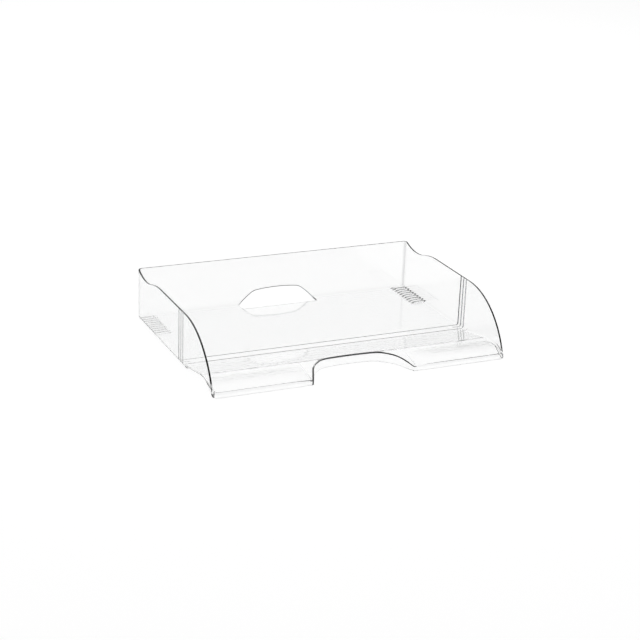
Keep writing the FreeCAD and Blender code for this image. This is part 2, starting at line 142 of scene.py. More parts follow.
# The rim of a side wall: a sweep up from the front, a level stretch and a dip near the rear.
SWEEP = 88.0
SWEEP_START = 6.0
SWEEP_RISE = 0.9
SWEEP_LOW = floor_level(SWEEP_START) + SWEEP_RISE
SWEEP_RADIUS = level_arc(SWEEP - SWEEP_START, SIDE_TOP - SWEEP_LOW)
DIP = DEPTH - 30.0
DIP_START = DIP - 52.0
DIP_TOP = REAR_TOP - 6.0
DIP_RADIUS = level_arc(DEPTH - WALL - DIP, REAR_TOP - DIP_TOP)
S_RADII = level_arc(DIP - DIP_START, SIDE_TOP - DIP_TOP)
S_RADIUS = S_RADII - DIP_RADIUS
S_TURN = DIP - (DIP - DIP_START) * DIP_RADIUS / S_RADII


def rim_level(y):
    """Height of a side wall's rim: an arc from the front to SWEEP, level to DIP_START, an arc
    down to S_TURN, and an arc through the dip up to the rear wall."""
    sweep = arc(SWEEP, SIDE_TOP - SWEEP_RADIUS, SWEEP_RADIUS, y, 1)
    down = arc(DIP_START, SIDE_TOP - S_RADIUS, S_RADIUS, y, 1)
    dip = arc(DIP, DIP_TOP + DIP_RADIUS, DIP_RADIUS, np.minimum(y, DEPTH - WALL), -1)
    return np.select([y < SWEEP, y < DIP_START, y < S_TURN], [sweep, SIDE_TOP, down], dip)


# The lower edge of a side wall: a leg behind the front corner, and a foot under the ramp. Its
# outer edge has the full BEND where the floor's sheet turns up into the wall.
LEG_TOP = 19.0
FOOT = 86.0
FOOT_ROUND = float(floor_level(FOOT, SHEET))
FOOT_EDGE = 0.3
FOOT_EDGE_TO = 0.1
LEG_BEND = 3.0
BEND = 4.3
BEND_FROM = LEG_TOP + 7


def foot_level(y):
    """Height of a side wall's lower edge: on the desk at the front corner, a straight leg up to
    the underside of the hump, along that underside, and a quarter round down to the desk."""
    leg = floor_level(LEG_TOP, SHEET) * (y - CORNER) / (LEG_TOP - CORNER)
    heel = arc(FOOT + FOOT_ROUND, FOOT_ROUND, FOOT_ROUND, y, -1)
    steps = [y < CORNER, y < LEG_TOP, y < FOOT, y < FOOT + FOOT_ROUND]
    return np.select(steps, [0 * y, leg, floor_level(y, SHEET), heel], 0 * y)


def bend_radius(y):
    """Radius of a side wall's lower outer edge, in straight lines between FOOT_EDGE at the front,
    LEG_BEND from the corner to the top of the leg, and BEND from there on."""
    places = [FOOT_EDGE_TO, CORNER, LEG_TOP, BEND_FROM]
    return np.interp(y, places, [FOOT_EDGE, LEG_BEND, LEG_BEND, BEND])


# The combs in the rear corners: teeth across the floor, with a slot in the underside of each.
TOOTH_PITCH = 6.3
LAST_TOOTH = DEPTH - 5.1
TEETH_IN_FRONT = 9
TOOTH_HALF = 1.5
TOOTH_SHOULDER = 2.6
SLOT_HALF = 0.8
SLOT_TOP = 1.5
COMB_START = HALF - 22.5
COMB_FULL = COMB_START + 7.0


def tooth_level(y):
    """Height of the rear tooth's half round top at y."""
    away = np.abs(y - LAST_TOOTH)
    return np.where(away < TOOTH_HALF, arc(0, TOOTH_SHOULDER, TOOTH_HALF, away, 1), SHEET)


# The arch through the rear wall: a shallow crown and two steeper sides, whose centres are
# ARCH_SIDE_AT. Its edge and the bead on its inner face grow in over ARCH_SOFT of its height.
ARCH_HALF = 49.0
ARCH_TOP = 19.8
ARCH_CROWN = 201.0
ARCH_SIDE = 89.0
ARCH_SIDE_AT = (ARCH_HALF - 68.18, -57.21)
ARCH_EASE = 1.6
ARCH_EDGE = 0.5
ARCH_BEAD = 0.35
ARCH_BEAD_WIDE = 0.7
ARCH_SOFT = 3.0
SLOPE_STEP = 0.05
STRETCH_MOST = 1.6


def arch_level(x):
    """Height of the arch above x: the lower of a shallow crown and a steeper side arc that starts
    at the foot, eased into each other where they differ by less than ARCH_EASE."""
    crown = arc(0, ARCH_TOP - ARCH_CROWN, ARCH_CROWN, x, 1)
    side = arc(ARCH_SIDE_AT[0], ARCH_SIDE_AT[1], ARCH_SIDE, x, 1)
    near = np.clip(1 - np.abs(crown - side) / ARCH_EASE, 0, 1)
    eased = np.minimum(crown, side) - near * near * ARCH_EASE / 4
    return np.where(x >= ARCH_HALF, 0, np.maximum(eased, 0))


def arch_stretch(x):
    """How much higher than wide a strip along the arch is at x: the root of 1 + its slope2."""
    slope = (arch_level(x + SLOPE_STEP) - arch_level(x - SLOPE_STEP)) / (2 * SLOPE_STEP)
    return np.minimum(np.sqrt(1 + slope ** 2), STRETCH_MOST)


# ---- rows of the floor's grid, from front to rear ----

# Three beads run up each side wall, with a dent behind each in the outer face. The first and the
# last also cross the floor, lower, and the middle one crosses only the floor's outer 12 mm.
BEADS = (95.0, 101.2, 107.4)
CROSSING = (1, 0, 1)
BEAD_HALF = 0.6
WALL_BEAD = 0.5
WALL_DENT = 0.65
FLOOR_BEAD = 0.25
FLOOR_SHARE = FLOOR_BEAD / WALL_BEAD
BEAD_START = HALF - 12.0

# Angles of the rows round the front and the rear corner. The comb's last slot leaves through the
# outer face of the rear corner after the first SLOT_TURNS of them.
FRONT_TURN = np.linspace(-math.pi / 2, 0, 9)
SLOT_LEAVES = math.asin(0.2)
SLOT_TURNS = 3
REAR_TURN = np.concatenate([np.linspace(0, SLOT_LEAVES, SLOT_TURNS),
                            np.linspace(SLOT_LEAVES, math.pi / 2, 9)])
N_FRONT = len(FRONT_TURN)
N_REAR = len(REAR_TURN)

# Places of the other rows: behind the front corner, over the hump, at the foot of the ramp, just
# before the beads, and on the plain floor.
LEG_ROWS = [5.4, 5.6, 5.8, 6.1, 6.5, 7, 7.6, 8.3, 9, 10, 11, 12.2, 13.6]
HUMP_ROWS = np.concatenate([np.arange(15, LEG_TOP, 1.3), np.arange(LEG_TOP, FOOT, 1.6)])
RAMP_ROWS = [88.4, 89.6, 91, 92.5, RAMP]
BEFORE_BEADS = 94.12
FLOOR_ROWS = np.concatenate([[130, 150], np.linspace(DIP_START, 188, 7)])
ROWS_TO_TOOTH_TOP = 7


def rows_of(y, wall=0.0, floor=0.0, dent=0.0, tooth=SHEET, under=None):
    """Rows at each y: what a bead adds to the walls and to the floor and takes out of the outer
    face, and the heights of the combs' top and underside."""
    y = np.atleast_1d(np.asarray(y, float))
    under = floor_level(y, SHEET) if under is None else under
    return np.stack([y] + [0 * y + value for value in (wall, floor, dent, tooth, under)], axis=1)


def tooth_rows(middle):
    """Rows over one tooth: up its front face, over a half circle, and down, with the slot's two
    edges at SLOT_HALF from its middle."""
    edge = math.acos(SLOT_HALF / TOOTH_HALF)
    front = np.array([0, edge / 2, edge])
    turn = np.concatenate([front, np.linspace(edge, math.pi - edge, 5), math.pi - front[::-1]])
    under = np.repeat([0, SLOT_TOP, 0], [3, 5, 3])
    top = TOOTH_SHOULDER + TOOTH_HALF * np.sin(turn)
    over = rows_of(middle - TOOTH_HALF * np.cos(turn), tooth=top, under=under)
    ends = rows_of([middle - TOOTH_HALF, middle + TOOTH_HALF], under=0)
    return np.concatenate([ends[:1], over, ends[1:]])


def bead_rows(middle, crossing):
    """Rows over one bead: half a circle's cosine over BEAD_HALF each side of its middle."""
    turn = np.linspace(-math.pi / 2, math.pi / 2, 7)
    over = np.cos(turn).clip(0)
    return rows_of(middle + BEAD_HALF * np.sin(turn), wall=WALL_BEAD * over,
                   floor=FLOOR_BEAD * over * crossing, dent=WALL_DENT * over, under=0)


def all_rows():
    """Every row: round the front corner, over the hump and down the ramp, over the beads, along
    the plain floor, over the teeth, and round the rear corner."""
    inside = CORNER - FOLD
    front = rows_of(CORNER + inside * np.sin(FRONT_TURN))
    heel = FOOT + FOOT_ROUND * (1 - np.cos(np.linspace(0, math.pi / 2, 6)))
    hump = rows_of(np.concatenate([LEG_ROWS, HUMP_ROWS, heel, RAMP_ROWS]))
    beads = [bead_rows(middle, crossing) for middle, crossing in zip(BEADS, CROSSING)]
    middles = LAST_TOOTH - TOOTH_PITCH * np.arange(TEETH_IN_FRONT, 0, -1)
    teeth = [tooth_rows(middle) for middle in middles]
    last = tooth_rows(LAST_TOOTH)[:ROWS_TO_TOOTH_TOP]
    y = DEPTH - CORNER + inside * np.sin(REAR_TURN)
    rear = rows_of(y, tooth=tooth_level(y), under=SLOT_TOP)
    return np.concatenate([front, hump, rows_of(BEFORE_BEADS), *beads, rows_of(FLOOR_ROWS), *teeth,
                           last, rear])


Y, WALL_BUMP, FLOOR_BUMP, WALL_HOLLOW, COMB_TOP, COMB_UNDER = all_rows().T

# The notch in the floor before the arch, with a rounded corner. Its edge is the row that follows
# the second tooth from the rear, bent back by up to NOTCH_REACH in front of it.
NOTCH_FRONT = DEPTH - 16.0
NOTCH_ROUND = 3.0
NOTCH_EASE = 51.0
NOTCH_REACH = 11.0
NOTCH_AT = LAST_TOOTH - 2 * TOOTH_PITCH + TOOTH_HALF
NOTCH_ROW = int(np.nonzero(np.abs(Y - NOTCH_AT) < 1e-6)[0].max())


# ---- outline of the grip cut-out ----

# The corners of its right half at the waist and the back, the radius of its crown, how far the
# crown runs before the first corner's round, and the radii of the three corners.
GRIP_WAIST = (49.5, 25.0)
GRIP_BACK = (33.0, 40.3)
GRIP_CROWN = 219.0
CROWN_TO = GRIP_BACK[0] - 13
GRIP_ROUND = 24.0
WAIST_ROUND = 40.0
MOUTH_ROUND = 2.8
MOUTH_RUN = 6.0


def rounded(points, radii, step=0.25):
    """A path through straight legs, with each inner corner eased by an arc of its radius: the
    arc's ends are r / tan(half the corner's angle) from the corner."""
    made = [points[0]]
    for before, here, after, radius in zip(points, points[1:], points[2:], radii):
        a, b = (np.subtract(p, here) / np.linalg.norm(np.subtract(p, here)) for p in (before, after))
        half = math.acos(np.clip(a @ b, -1, 1)) / 2
        swing = math.pi - 2 * half
        centre = here + (a + b) / np.linalg.norm(a + b) * radius / math.sin(half)
        first, last = (here + leg * radius / math.tan(half) - centre for leg in (a, b))
        t = np.linspace(0, 1, max(int(radius * swing / step), 4))[:, None]
        made.extend(centre + (np.sin((1 - t) * swing) * first + np.sin(t * swing) * last) / math.sin(swing))
    made.append(points[-1])
    return np.array(made)


def grip_path():
    """The right half of the cut-out, from the middle of its back to the front edge, as the arc
    length along it, its points and the direction out of the tray: a crown of radius GRIP_CROWN,
    and straight legs with rounded corners."""
    top = GRIP_BACK[1] - math.sqrt(GRIP_CROWN ** 2 - GRIP_BACK[0] ** 2)
    x = np.linspace(0, CROWN_TO, 23)
    crown = np.stack([x, arc(0, top, GRIP_CROWN, x, 1)], axis=1)
    legs = [crown[-1], GRIP_BACK, GRIP_WAIST, (GRIP_MOUTH, 0.0), (GRIP_MOUTH + MOUTH_RUN, 0.0)]
    sides = rounded([np.array(p) for p in legs], [GRIP_ROUND, WAIST_ROUND, MOUTH_ROUND])
    path = np.concatenate([crown[:-1], sides])
    step = np.linalg.norm(np.diff(path, axis=0), axis=1)
    along = np.concatenate([[0], np.cumsum(step)])
    fine = np.linspace(0, along[-1], 1600)
    xy = np.stack([np.interp(fine, along, path[:, k]) for k in (0, 1)], axis=1)
    heading = np.gradient(xy, axis=0)
    heading /= np.linalg.norm(heading, axis=1)[:, None]
    out = np.stack([heading[:, 1], -heading[:, 0]], axis=1)
    out[[0, -1]] = (0, -1)
    return fine, xy, out


ALONG, GRIP_XY, GRIP_OUT = grip_path()
MOUTH = GRIP_XY[-1, 0]


# ---- columns of the floor's grid, from the middle to the side ----

# Columns are a PACE_ANGLE or a PACE_LENGTH apart along the grip, closer at the arch's shoulder, on
# the notch's rounded corner and where a comb starts, and sparse on the plain floor.
PACE_ANGLE = math.radians(8)
PACE_LENGTH = 3.0
SHOULDER = (28.7, 3.2)
SHOULDER_COLUMNS = np.arange(25.7, 32, 1.2)
NOTCH_CORNER = (47.7, 2.3)
PLAIN_COLUMNS = [78, 100, 125]


def columns():
    """Columns of the right half, from the middle out. Gives x, how far a comb has come in there,
    and whether the middle bead is on."""
    turn = np.abs(np.gradient(np.arctan2(GRIP_OUT[:, 0], -GRIP_OUT[:, 1])))
    pace = np.cumsum(turn / PACE_ANGLE + np.gradient(ALONG) / PACE_LENGTH)
    spots = np.interp(np.linspace(pace[0], pace[-1], int(pace[-1]) + 1), pace, ALONG)
    near = spots * MOUTH / ALONG[-1]
    for middle, half in (NOTCH_CORNER, SHOULDER):
        near = near[np.abs(near - middle) > half]
    notch = ARCH_HALF - NOTCH_ROUND * (1 - np.sin(np.linspace(0, math.pi / 2, 7)))
    near = np.sort(np.concatenate([near, notch, SHOULDER_COLUMNS]))
    near[0] = 0
    ends = np.linspace(COMB_START, COMB_FULL, 7)
    x = np.concatenate([near, PLAIN_COLUMNS, ends, [BEAD_START, BEAD_START, HALF - FOLD]])
    in_comb = smooth((x - COMB_START) / (COMB_FULL - COMB_START))
    return x, in_comb, np.arange(len(x)) > len(x) - 3


X, IN_COMB, IN_BEAD = columns()
ARCH_COLUMN = int(np.argmin(np.abs(X - ARCH_HALF)))


def front_outline():
    """Outline points and outward directions of the front edge, column by column: along the grip
    up to its mouth, and straight beside it."""
    s = X / MOUTH * ALONG[-1]
    inside = X <= MOUTH
    xy = np.stack([np.where(inside, np.interp(s, ALONG, GRIP_XY[:, 0]), X),
                   np.where(inside, np.interp(s, ALONG, GRIP_XY[:, 1]), 0)], axis=1)
    out = np.stack([np.where(inside, np.interp(s, ALONG, GRIP_OUT[:, 0]), 0),
                    np.where(inside, np.interp(s, ALONG, GRIP_OUT[:, 1]), -1)], axis=1)
    out /= np.linalg.norm(out, axis=1)[:, None]
    xy[:, 0] = np.minimum(xy[:, 0], HALF - CORNER)
    return xy, out


def notch_line(x):
    """How far back the floor ends at x: a quarter round at the notch's corner, and beside the
    arch an eased step to NOTCH_AT."""
    start = ARCH_HALF - NOTCH_ROUND
    end = NOTCH_FRONT + NOTCH_ROUND
    corner = end - arc(start, 0, NOTCH_ROUND, np.clip(x, start, ARCH_HALF), 1)
    beside = end + (NOTCH_AT - end) * smooth((x - ARCH_HALF) / NOTCH_EASE)
    return np.where(x <= ARCH_HALF, corner, beside)


def sheet_plan():
    """Plan of the floor's grid, rows by columns: from the front edge's shape to straight rows at
    RAMP, with the rows near NOTCH_AT bent to the notch's edge."""
    outline, out = front_outline()
    first = outline - out * FOLD
    blend = np.clip((Y - Y[0]) / (RAMP - Y[0]), 0, 1)[:, None]
    y = np.maximum(first[:, 1] + blend * (RAMP - first[:, 1]), 0) + np.maximum(Y - RAMP, 0)[:, None]
    x = first[:, 0] + blend * (X - first[:, 0])
    # The ends of the first and last rows follow the rounded corners.
    inside = CORNER - FOLD
    x[:, -1] = HALF - FOLD
    x[:N_FRONT, -1] = HALF - CORNER + inside * np.cos(FRONT_TURN)
    x[-N_REAR:, -1] = HALF - CORNER + inside * np.cos(REAR_TURN)
    tent = np.interp(Y, [NOTCH_AT - NOTCH_REACH, NOTCH_AT, DEPTH - FOLD], [0, 1, 0])[:, None]
    return x, y + tent * (notch_line(X) - NOTCH_AT)


def sheet_levels(x, y):
    """Heights of the floor's top and underside over the grid: the floor's level with the beads
    and teeth on top, and the slots below."""
    bump = np.where(IN_BEAD, WALL_BUMP[:, None] * FLOOR_SHARE, FLOOR_BUMP[:, None])
    teeth = SHEET + IN_COMB * (COMB_TOP[:, None] - SHEET)
    top = np.maximum(floor_level(y) + bump, teeth)
    slots = IN_COMB * COMB_UNDER[:, None]
    return top, np.where((Y > RAMP)[:, None], slots, floor_level(y, thickness(x, y)))


# ---- the ring of lips and walls round the floor ----

# Edge rounding. The lip's inner face lies LIP_SLACK further in than its round top, and the cove
# takes COVE_SHARE of a low rise at most.
RIM_ROUND = 0.45
LIP_ROUND = 2.6
LIP_SLACK = 0.4
COVE_SHARE = 0.8
SLOT_BEHIND = 0.05

# The places of a section's points: the cove's last one, the outer face's last one above its
# bend, and how many points lead from there to the depth of the inner face.
COVE_END = 6
OUTER_END = 17
BEND_STEPS = 6
BEND_SPLIT = math.acos((BEND - WALL) / BEND)
BEND_TURN = np.concatenate([np.linspace(0, BEND_SPLIT, BEND_STEPS),
                            np.linspace(BEND_SPLIT, math.pi / 2, 5)[1:]])
TURN = np.linspace(0, math.pi / 2, 6)
SHORT_TURN = np.linspace(0, math.pi / 2, 4)


def section(outline, out, rise=0.0, bump=0.0, foot=0.0, bend=FOOT_EDGE, comb=SHEET, across=0.0,
            under=np.nan, slot=FOLD, dent=0.0):
    """The ring around the floor, one section for each outline point: from the floor's top, up the
    cove and the inner face, over the rim, down the outer face, and back in under the floor. A
    point lies a distance in from the outline, and its height is the floor's there plus a rise."""
    whole = np.ones(len(outline))
    rise, bump, foot, bend, comb, across, under, slot, dent = (
        value * whole for value in (rise, bump, foot, bend, comb, across, under, slot, dent))
    lip = np.where(rise > 0, 0, lip_share(outline[:, 0]))
    high_in, high = upper_half(outline, out, lip, rise, bump, comb, across, dent)
    low_in, low = lower_half(outline, out, lip, foot, bend, under, slot, dent)
    inward = np.concatenate([high_in, low_in], axis=1)
    plan = outline[:, None, :] - inward[:, :, None] * out[:, None, :]
    return np.concatenate([plan, np.concatenate([high, low], axis=1)[:, :, None]], axis=2)


def upper_half(outline, out, lip, rise, bump, comb, across, dent):
    """Distances in and heights from the floor's top to the outer face: a quarter round cove, a
    quarter round inner edge and a quarter round outer edge."""
    rise, bump, dent = rise[:, None], bump[:, None], dent[:, None]
    cove = np.minimum(COVE - bump, COVE_SHARE * rise)
    face = WALL + bump + (LIP_ROUND - WALL + LIP_SLACK) * lip[:, None]
    inner = np.minimum(RIM_ROUND, rise / 2)
    outer = RIM_ROUND + (LIP_ROUND - RIM_ROUND) * lip[:, None]
    inward = np.concatenate([0 * rise + FOLD, face + cove * (1 - np.sin(TURN)),
                             face - inner * (1 - np.cos(SHORT_TURN)),
                             outer * (1 - np.sin(TURN)) + dent], axis=1)
    above = np.concatenate([0 * rise, cove * (1 - np.cos(TURN)), rise - inner * (1 - np.sin(SHORT_TURN)),
                            rise - outer * (1 - np.cos(TURN))], axis=1)
    y = outline[:, None, 1] - inward * out[:, None, 1]
    past_cove = np.ones(above.shape[1] - COVE_END - 1)
    share = np.concatenate([[FLOOR_SHARE], np.linspace(FLOOR_SHARE, 1, COVE_END), past_cove])
    height = floor_level(y) + bump * share + above
    teeth = np.maximum(comb[:, None], SHEET + across[:, None] * (tooth_level(y) - SHEET))
    return inward, np.where(inward >= WALL, np.maximum(height, teeth), height)


def lower_half(outline, out, lip, foot, bend, under, slot, dent):
    """Distances in and heights from the outer face to the floor's underside: the outer bend, the
    wall's lower edge, a fillet behind a lip, and a slot's two edges."""
    def below(inward):
        """Height of the underside at a distance in from the outline."""
        x, y = (outline - np.multiply(inward, out.T).T).T
        return np.where(np.isnan(under), floor_level(y, thickness(x, y)), under)

    behind = slot < FOLD
    thick = WALL + (LIP_THIN - WALL) * lip
    base = np.maximum(thick, bend)
    skirt = np.where(behind, 0, np.clip(below(WALL) - foot, 0, FOOT_EDGE))
    fillet = (LIP_ROUND - LIP_THIN) * lip
    arc_in = np.minimum(dent[:, None] + bend[:, None] * (1 - np.cos(BEND_TURN)), base[:, None])
    arc_up = (foot + bend)[:, None] - bend[:, None] * np.sin(BEND_TURN)
    steps = [(np.maximum(thick - FOOT_EDGE, bend), foot), (base, foot + skirt)]
    for turn in TURN:
        round_up = below(base + fillet) - fillet * (1 - math.sin(turn))
        steps.append((base + fillet * (1 - math.cos(turn)), np.where(behind, foot, round_up)))
    steps += [(slot, np.where(behind, foot, below(slot))), (slot, below(slot))]
    inward = np.concatenate([arc_in, np.stack([step for step, _ in steps], axis=1)], axis=1)
    inward = np.minimum(inward, slot[:, None])
    height = np.concatenate([arc_up, np.stack([height for _, height in steps], axis=1)], axis=1)
    end = [value[:, None] for value in (0 * slot + FOLD, below(FOLD))]
    floor = np.where(np.isnan(under) | behind, -1.0, under)[:, None]
    inward = np.concatenate([inward, end[0]], axis=1)
    return inward, np.maximum(np.concatenate([height, end[1]], axis=1), floor)


def side_ring():
    """The ring's sections from the front corner, along the side, round the rear corner."""
    n = len(Y)
    turn = np.zeros(n)
    turn[:N_FRONT] = FRONT_TURN
    turn[-N_REAR:] = REAR_TURN
    out = np.stack([np.cos(turn), np.sin(turn)], axis=1)
    middle = np.clip(Y, CORNER, DEPTH - CORNER)
    outline = np.stack([np.full(n, HALF - CORNER), middle], axis=1) + CORNER * out
    place = outline[:, 1]
    rise = np.maximum(rim_level(place) - floor_level(place) - WALL_BUMP, 0)
    rise[:N_FRONT] = 0
    behind = Y > RAMP
    under = np.where(behind, COMB_UNDER, np.nan)
    foot = np.where(behind, 0, foot_level(place))
    # In the rear corner the slot leaves through the outer face, and then stays behind it.
    in_turn = np.arange(n) >= n - N_REAR
    past = np.arange(n) >= n - N_REAR + SLOT_TURNS
    away = LAST_TOOTH + SLOT_HALF - (DEPTH - CORNER)
    reach = CORNER - away / np.maximum(np.sin(turn), away / CORNER)
    slot = np.where(past, np.maximum(reach, FOOT_EDGE + SLOT_BEHIND), FOLD)
    comb = np.where(in_turn, SHEET, COMB_TOP)
    return section(outline, out, rise, WALL_BUMP, foot, bend_radius(place), comb, in_turn, under,
                   slot, WALL_HOLLOW)


def rear_ring(x, in_comb):
    """The ring's sections along the rear wall."""
    outline = np.stack([np.minimum(x, HALF - CORNER), np.full(len(x), DEPTH)], axis=1)
    out = np.broadcast_to((0.0, 1.0), outline.shape)
    slot = np.where(in_comb > 0, DEPTH - LAST_TOOTH - SLOT_HALF, FOLD)
    return section(outline, out, REAR_TOP - SHEET, bend=BEND, across=in_comb,
                   under=in_comb * SLOT_TOP, slot=slot)


def arch_ring(x):
    """Sections of the rear wall over the arch, where it has no floor: closed tubes. Away from its
    foot, the arch's edge is a half ellipse across the wall, and a half round bead runs along it on
    the inner face."""
    outline = np.stack([x, np.full(len(x), DEPTH)], axis=1)
    out = np.broadcast_to((0.0, 1.0), outline.shape)
    arch = arch_level(x)
    ring = section(outline, out, REAR_TOP - SHEET, bend=BEND, under=0.0)
    inner = np.maximum(arch, BEND - math.sqrt(BEND ** 2 - (BEND - WALL) ** 2))
    ring[:, :, 1] = np.maximum(ring[:, :, 1], DEPTH - WALL)
    ring[:, OUTER_END:, 2] = np.maximum(ring[:, OUTER_END:, 2], arch[:, None])
    ring[:, OUTER_END + BEND_STEPS:, 2] = inner[:, None]
    grown = np.clip(arch / ARCH_SOFT, 0, 1)[:, None]
    edge, bead = (size * arch_stretch(x)[:, None] for size in (ARCH_EDGE, ARCH_BEAD_WIDE))
    turn = np.linspace(0, math.pi, ring.shape[1] - OUTER_END)
    edge_in = DEPTH - WALL / 2 * (1 - np.cos(turn))
    edge_up = arch[:, None] + edge * (1 - np.sin(turn))
    low = ring[:, OUTER_END:]
    low[:, :, 1] += grown * (edge_in - low[:, :, 1])
    low[:, :, 2] += grown * (edge_up - low[:, :, 2])
    inside = inner[:, None] + grown * ((arch - inner)[:, None] + edge)
    step = np.linspace(0, 1, COVE_END + 1)
    ring[:, :COVE_END + 1, 1] = DEPTH - WALL - grown * ARCH_BEAD * np.sin(math.pi * step)
    ring[:, :COVE_END + 1, 2] = inside + grown * bead * step
    ring[:, COVE_END, 2] = np.maximum(ring[:, COVE_END, 2], SHEET + COVE)
    return ring


# ---- the mesh ----

class Shell:
    """Gathers grids of points and single faces for the right half of one closed mesh."""

    def __init__(self):
        self.points, self.faces, self.count = [], [], 0

    def take(self, points):
        """Keep points, and give each its number."""
        self.points.append(points.reshape(-1, 3))
        first = self.count
        self.count += points.size // 3
        return np.arange(first, self.count).reshape(points.shape[:-1])

    def grid(self, points, keep=slice(None)):
        """Four-sided faces between neighbours in a grid, or only where keep is true."""
        n = self.take(points)
        quads = np.stack([n[:-1, :-1], n[:-1, 1:], n[1:, 1:], n[1:, :-1]], axis=-1)
        self.faces += quads[keep].reshape(-1, 4).tolist()

    def face(self, points):
        """One face through points in order."""
        self.faces.append(self.take(points).tolist())

    def both_halves(self):
        """Points and faces of this half and of its mirror image."""
        points = np.concatenate(self.points)
        other = [[i + self.count for i in reversed(face)] for face in self.faces]
        return np.concatenate([points, points * (-1, 1, 1)]), self.faces + other


def lift(x, y, z):
    """Points from arrays or numbers for x, y and z."""
    return np.stack(np.broadcast_arrays(x, y, z), axis=-1)


def build_shell():
    """The tray's points and faces: the floor's top and underside, the ring round it, and the
    notch's edge and side, which meet edge to edge."""
    shell = Shell()
    x, y = sheet_plan()
    top, under = sheet_levels(x, y)
    keep = np.ones((len(Y) - 1, len(X) - 1), bool)
    keep[NOTCH_ROW:, :ARCH_COLUMN] = False
    shell.grid(lift(x, y, top), keep)
    shell.grid(lift(x, y, under), keep)
    shell.grid(section(*front_outline()))
    shell.grid(side_ring())
    rear = rear_ring(X[ARCH_COLUMN:], IN_COMB[ARCH_COLUMN:])
    shell.grid(rear)
    shell.grid(arch_ring(X[:ARCH_COLUMN + 1]))
    # The notch's edge, and its side with the section of the cove.
    cut = slice(0, ARCH_COLUMN + 1)
    shell.grid(lift(x[NOTCH_ROW, cut], y[NOTCH_ROW, cut], np.array([[SHEET], [0.0]])))
    along = np.unique(y[NOTCH_ROW:, ARCH_COLUMN].round(6))
    floor_top = lift(ARCH_HALF, along, SHEET)
    floor_under = lift(ARCH_HALF, along[::-1], 0.0)
    cove = rear[0, 2:COVE_END + 1]
    bend = rear[0, OUTER_END + BEND_STEPS - 1:OUTER_END + len(BEND_TURN)]
    shell.face(np.concatenate([floor_top, cove, bend, floor_under]))
    return shell.both_halves()


# In metres: points this close are merged, and edges this short are taken out.
MERGE = 2e-6
SLIVER = 1e-6


def make_tray():
    """One closed mesh, with the grids' shared points merged and its faces turned outwards."""
    points, faces = build_shell()
    points[:, 1] += LOW[1]
    mesh = bpy.data.meshes.new("tray")
    mesh.from_pydata((points * MM).tolist(), [], faces)
    work = bmesh.new()
    work.from_mesh(mesh)
    bmesh.ops.remove_doubles(work, verts=work.verts, dist=MERGE)
    bmesh.ops.dissolve_degenerate(work, edges=work.edges, dist=SLIVER)
    bmesh.ops.recalc_face_normals(work, faces=work.faces)
    work.to_mesh(mesh)
    work.free()
    tray = bpy.data.objects.new("tray", mesh)
    bpy.context.scene.collection.objects.link(tray)
    return tray


SHARP = math.radians(38)


def finish_surface(tray):
    """Smooth faces, with the edges that turn more than SHARP kept crisp."""
    mesh = tray.data
    mesh.shade_smooth()
    mesh.set_sharp_from_angle(angle=SHARP)
    soft = tray.modifiers.new("even shading", "WEIGHTED_NORMAL")
    soft.mode = "FACE_AREA"
    soft.keep_sharp = True
    soft.weight = 50


# How much painted shade darkens the plastic on the arch's edge, in the walls' dents and on the corners,
# how much of the arch's bead that takes in, and how close a point is when it lies on a face.
ARCH_SHARE = 0.85
BEAD_SHARE = 1.0
CORNER_SHARE = 0.25
BEAD_TINTED = 0.9
CLOSE = 0.01


def paint_edge_shade(tray):
    """An attribute of painted shade, which darkens the plastic's colour to stand in for the dark lines
    that refraction and light led along inside the sheet give where it leaves at edges and bends:
    most in the dents behind the walls' beads, falling in a straight line near their sides, a little
    less on the arch's edge and its bead, and least on the upright corners."""
    mesh = tray.data
    place = np.empty(len(mesh.vertices) * 3)
    mesh.vertices.foreach_get("co", place)
    x, y, z = (place.reshape(-1, 3) / MM).T
    x, y = np.abs(x), y - LOW[1]
    over = (z - arch_level(x)) / arch_stretch(x)
    near = (over < ARCH_EDGE + ARCH_BEAD_WIDE * BEAD_TINTED) & (over > -10 * CLOSE)
    outside = (y > DEPTH - CLOSE) & (over > ARCH_EDGE - 2 * CLOSE)
    edge = near & ~outside & (y > DEPTH - WALL - ARCH_BEAD - CLOSE) & (x < ARCH_HALF)
    edge = edge * ARCH_SHARE * np.clip(arch_level(x) / ARCH_SOFT, 0, 1)
    bead = np.max([2 - 2 * np.abs(y - middle) / BEAD_HALF for middle in BEADS], axis=0).clip(0, 1)
    bead = bead * BEAD_SHARE * (x > HALF - WALL_DENT - 5 * CLOSE)
    turn = np.arctan2(y - (DEPTH - CORNER), x - (HALF - CORNER))
    corner = np.sin(2 * turn) * CORNER_SHARE * (x > HALF - CORNER) * (y > DEPTH - CORNER)
    # Painted shade: the material darkens the plastic's colour by this attribute.
    layer = mesh.attributes.new("painted_edge_shade", "FLOAT", "POINT")
    layer.data.foreach_set("value", np.max([edge, bead, corner], axis=0))


# ---- materials ----

class Nodes:
    """Makes the nodes of one material or world."""

    def __init__(self, owner):
        owner.use_nodes = True
        self.tree = owner.node_tree

    def fill(self, node, inputs):
        """Links sockets to outputs, or sets them to numbers and colours."""
        for name, value in inputs.items():
            if isinstance(value, Value):
                self.tree.links.new(value.socket, node.inputs[name])
            else:
                node.inputs[name].default_value = value

    def make(self, kind, inputs=None, output=0, **settings):
        """A node with its settings first and then its inputs. Gives one of its outputs."""
        node = self.tree.nodes.new(kind)
        for name, value in settings.items():
            setattr(node, name, value)
        self.fill(node, inputs or {})
        return Value(self, node.outputs[output])

    def math(self, operation, first, second=0.0):
        """A Math node on two numbers or outputs."""
        return self.make("ShaderNodeMath", {0: first, 1: second}, operation=operation)

    def parts(self, vector):
        """The x, y and z of a vector."""
        split = self.make("ShaderNodeSeparateXYZ", {0: vector})
        return [Value(self, socket) for socket in split.socket.node.outputs]


